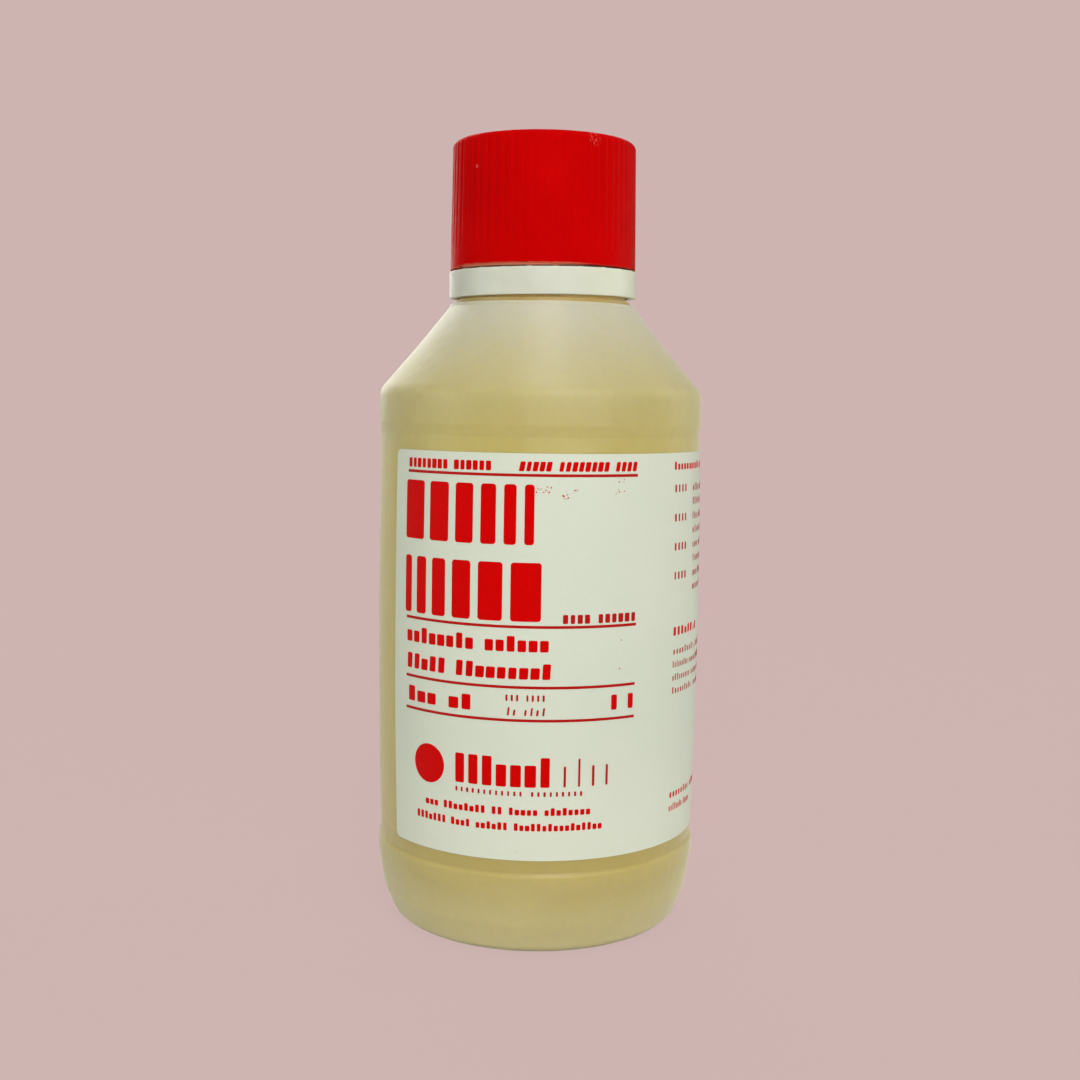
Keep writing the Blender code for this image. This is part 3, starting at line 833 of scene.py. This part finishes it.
def make_cap():
    roof = CAP_TOP - 1.6
    path = [
        (0.0, roof, 0.0), (9.0, roof, 0.0), (CAP_IN, roof, 0.5), (CAP_IN, CAP_BOTTOM + 0.5, 0.1),
        (CAP_IN + 0.35, CAP_BOTTOM - 0.06, 0.03), (LIP_R, CAP_BOTTOM - 0.06, 0.025), (LIP_R, CAP_BOTTOM, 0.02),
        (COLLAR_R, CAP_BOTTOM, 0.12),
        (COLLAR_R, CAP_BOTTOM + COLLAR, 0.0), (CAP_R1 + RIB_H, CAP_TOP, 1.2), (3.0, CAP_TOP - 0.05, 0.0),
        (1.1, CAP_TOP - 0.06, 0.0), (0.8, CAP_TOP - 0.02, 0.0), (0.0, CAP_TOP, 0.0),
    ]
    pts = refined(rounded(path, 0.16), 1.6, [(128.4, 138.8, 0.3), (CAP_BOTTOM - 0.06, CAP_BOTTOM + 0.05, 0.16),
                                             (CAP_BOTTOM + COLLAR - 0.2, CAP_BOTTOM + COLLAR + 0.6, 0.1),
                                             (CAP_TOP - 2.4, CAP_TOP - 0.4, 0.15)])
    edge = min(i for i, p in enumerate(pts) if p[1] < CAP_BOTTOM - 0.06 + 1e-3)
    z0, z1 = CAP_BOTTOM + COLLAR, CAP_TOP - 0.95

    def shape(i, r, z, a):
        if i < edge:
            if r > CAP_IN - 0.2 and z < 146.5:
                r -= THREAD_H * ridge(a, z, THREAD_Z - PITCH / 2.0, THREAD_A0) * 0.985
            if z > CAP_BOTTOM + 0.6:
                return r, z
        # grip ribs
        if r > 14.0 and i > edge and z > z0 - 0.01:
            t = (a / (2.0 * PI) * RIBS) % 1.0
            d = abs(t - 0.5) * 2.0 * PI * 17.3 / RIBS
            # each groove runs out towards the plain band and over the top edge
            cut = smooth(d, 0.42, 0.82) * (0.65 + 0.35 * smooth(z, 133.0, 145.0))
            r -= 0.62 * RIB_H * cut * smooth(z, z0, z0 + 3.0) * smooth(CAP_TOP - z, 0.25, 1.15)
        # what is left of the web that joined cap and ring: a torn lip just inside the open edge
        if z < CAP_BOTTOM - 0.02 and r < LIP_R + 0.01:
            at = math.degrees(near(a, 0.0))
            z -= 0.42 * smooth(at, -61.0, -58.0) * (1.0 - smooth(at, -6.0, 36.0)) * smooth(CAP_BOTTOM - z, 0.01, 0.05)
        # the open edge sags a little, most right of the front
        if z < CAP_BOTTOM + 1.2:
            at = math.degrees(near(a, math.radians(38.0)))
            z -= (0.05 + 0.12 * math.exp(-(at / 26.0) ** 2)) * smooth(CAP_BOTTOM + 1.2 - z, 0.0, 1.2)
        # tab and torn stubs on the open edge
        if z < CAP_BOTTOM + 0.45:
            low = smooth(CAP_BOTTOM + 0.45 - z, 0.0, 0.35)
            d = abs(near(a, math.radians(-76.0)))
            z -= 0.45 * low * smooth(math.radians(14.4) - d, 0.0, math.radians(1.2))
            if r > CAP_IN + 0.3:
                for k, s in enumerate(STUBS):
                    w = 0.75 if k == 0 else 0.5
                    dd = abs(near(a, s)) * 17.4
                    h = 0.06 if k == 0 else 0.01 + 0.01 * ((k * 5) % 4)
                    if math.radians(-95.0) < near(s, 0.0) < math.radians(-58.0):
                        h = 0.0
                    z -= h * low * smooth(w - dd, 0.0, 0.2)
        r += 0.01 * wave(a, z, 6.0)
        return r, z

    return turned("screw_cap_detail", pts, RIBS * 12, CAP_PP, shape, sharp=55.0)


def make_wad():
    z0, z1 = LIP_Z + 0.3, LIP_Z + 1.5
    path = [(0.0, z0, 0.0), (12.2, z0, 0.0), (12.7, z0 + 0.10, 0.0), (14.4, z0 + 0.10, 0.0), (14.8, z0, 0.0),
            (15.4, z0, 0.2), (15.4, z1, 0.2), (0.0, z1, 0.0)]
    pts = refined(rounded(path, 0.1), 1.2)

    def shape(i, r, z, a):
        return r + 0.02 * wave(a, z * 5.0, 9.0), z

    return turned("sealing_wad_detail", pts, 160, FOAM, shape, sharp=50.0)


bottle, liquid, label = make_bottle(), make_liquid(), make_label()
ink_red, ink_dark = make_print()
ring, cap, wad = make_ring(), make_cap(), make_wad()

for ob, body, node, slot in (
    (bottle, "bottle", "bottle_body", "natural_hdpe"),
    (liquid, "bottle", "developer_liquid", "developer_liquid"),
    (label, "bottle", "wrap_label", "label_paper"),
    (ink_red, "bottle", None, "label_paper"),
    (ink_dark, "bottle", None, "label_paper"),
    (ring, "ring", "tamper_ring", "white_pp"),
    (cap, "cap", "screw_cap", "red_pp"),
    (wad, "wad", "sealing_wad", "white_foam"),
):
    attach(ob, body)
    if node:
        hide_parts(node)


# ----------------------------------------------------------------------- stage
def bowl(name, mat, drop):
    """Round floor that curves up into a wall on every side."""
    flat, bend, height = 1.15, 0.75, 3.2
    prof = [(0.0, -drop), (0.25, -drop), (0.6, -drop), (flat, -drop)]
    for k in range(1, 13):
        t = PI / 2.0 * k / 12
        prof.append((flat + bend * math.sin(t), -drop + bend * (1.0 - math.cos(t))))
    prof.append((flat + bend, height))
    verts, faces, rows, cols = [], [], [], 96
    for r, z in prof:
        if r == 0.0:
            rows.append([len(verts)])
            verts.append((0.0, 0.0, z))
            continue
        rows.append([len(verts) + k for k in range(cols)])
        verts += [around(r, 2.0 * PI * k / cols, z) for k in range(cols)]
    for lo, hi in zip(rows, rows[1:]):
        for k in range(cols):
            j = (k + 1) % cols
            faces.append((lo[0], hi[k], hi[j]) if len(lo) == 1 else (lo[k], hi[k], hi[j], lo[j]))
    mesh = bpy.data.meshes.new(name)
    mesh.from_pydata(verts, [], faces)
    mesh.shade_smooth()
    mesh.materials.append(mat)
    ob = bpy.data.objects.new(name, mesh)
    bpy.context.scene.collection.objects.link(ob)
    return ob


def stage_material(name, glow, diffuse, far):
    """Mostly even glow, so that the floor reads as one pale tone with a faint contact shadow.
    Away from the object the part that answers to the lights gives way to glow alone."""
    mat = bpy.data.materials.new(name)
    mat.use_nodes = True
    tree = mat.node_tree
    tree.nodes.clear()
    out = tree.nodes.new("ShaderNodeOutputMaterial")
    add = tree.nodes.new("ShaderNodeAddShader")
    em = tree.nodes.new("ShaderNodeEmission")
    di = tree.nodes.new("ShaderNodeBsdfDiffuse")
    co = tree.nodes.new("ShaderNodeTexCoord")
    ln = tree.nodes.new("ShaderNodeVectorMath")
    ln.operation = "LENGTH"
    tree.links.new(co.outputs["Object"], ln.inputs[0])
    fade = tree.nodes.new("ShaderNodeMapRange")
    fade.interpolation_type = "SMOOTHSTEP"
    fade.inputs["From Min"].default_value = 0.16
    fade.inputs["From Max"].default_value = 0.60
    tree.links.new(ln.outputs["Value"], fade.inputs["Value"])
    for near_tone, far_tone, socket in ((glow, far, em.inputs["Color"]), (diffuse, (0.0, 0.0, 0.0), di.inputs["Color"])):
        mx = tree.nodes.new("ShaderNodeMix")
        mx.data_type = "RGBA"
        mx.inputs[6].default_value = (*near_tone, 1.0)
        mx.inputs[7].default_value = (*far_tone, 1.0)
        tree.links.new(fade.outputs["Result"], mx.inputs[0])
        tree.links.new(mx.outputs[2], socket)
    tree.links.new(em.outputs[0], add.inputs[0])
    tree.links.new(di.outputs[0], add.inputs[1])
    tree.links.new(add.outputs[0], out.inputs["Surface"])
    return mat


def plain_material(name, tone):
    mat = bpy.data.materials.new(name)
    mat.use_nodes = True
    bsdf = mat.node_tree.nodes["Principled BSDF"]
    bsdf.inputs["Base Color"].default_value = (*tone, 1.0)
    bsdf.inputs["Roughness"].default_value = 0.9
    return mat


seen = bowl("floor_and_backdrop", stage_material("pale_rose", (0.562, 0.421, 0.407), (0.060, 0.045, 0.043),
                                                 (0.611, 0.457, 0.441)), 0.0)
seen.visible_diffuse = False
seen.visible_glossy = False
seen.visible_transmission = False
seen.visible_shadow = False
bounce = bowl("neutral_bounce", plain_material("neutral_bounce", (0.62, 0.61, 0.58)), 0.002)
bounce.visible_camera = False

world = bpy.data.worlds.new("studio")
bpy.context.scene.world = world
world.use_nodes = True
world.node_tree.nodes["Background"].inputs["Color"].default_value = (1.0, 0.985, 0.955, 1.0)
world.node_tree.nodes["Background"].inputs["Strength"].default_value = 0.40


def softbox(name, azimuth, elevation, distance, size, power, colour=(1.0, 1.0, 1.0), aim=(0.0, 0.0, 0.085)):
    light = bpy.data.lights.new(name, "AREA")
    light.shape = "RECTANGLE"
    light.size, light.size_y = size
    light.energy = power
    light.color = colour
    ob = bpy.data.objects.new(name, light)
    a, e = math.radians(azimuth), math.radians(elevation)
    d = Vector((math.sin(a) * math.cos(e), -math.cos(a) * math.cos(e), math.sin(e)))
    aim = Vector(aim)
    ob.location = aim + d * distance
    ob.rotation_mode = "QUATERNION"
    ob.rotation_quaternion = d.to_track_quat("Z", "Y")
    bpy.context.scene.collection.objects.link(ob)
    return ob


softbox("front", 20, 12, 1.30, (1.3, 1.1), 11.0, (1.0, 0.99, 0.955))
softbox("key", 14, 44, 1.00, (0.26, 0.13), 1.9, (1.0, 0.99, 0.96))
softbox("top", 16, 80, 1.00, (0.26, 0.30), 1.3, (1.0, 0.985, 0.94))
softbox("right_strip", 112, 20, 0.95, (0.16, 0.9), 1.1, (1.0, 0.985, 0.87))
softbox("left_fill", -68, 2, 1.05, (0.6, 0.9), 3.3, (0.95, 1.0, 0.94))
softbox("back", 195, 22, 1.30, (1.2, 1.0), 8.0, (1.0, 0.99, 0.955))

# ---------------------------------------------------------------------- camera
cam = bpy.data.cameras.new("camera")
cam.sensor_width = 36.0
cam.lens = 47.82
cam.clip_start, cam.clip_end = 0.01, 20.0
cam_ob = bpy.data.objects.new("camera", cam)
bpy.context.scene.collection.objects.link(cam_ob)
cam_ob.matrix_world = (Matrix.Translation((0.00019, -0.2802, 0.1013))
                       @ Matrix.Rotation(math.radians(90.0 - 5.72), 4, "X")
                       @ Matrix.Rotation(math.radians(0.82), 4, "Z"))
bpy.context.scene.camera = cam_ob
bpy.context.scene.view_settings.view_transform = "Standard"
bpy.context.scene.view_settings.look = "None"
bpy.context.scene.view_settings.exposure = 0.0
bpy.context.scene.view_settings.gamma = 1.0

bpy.context.view_layer.update()
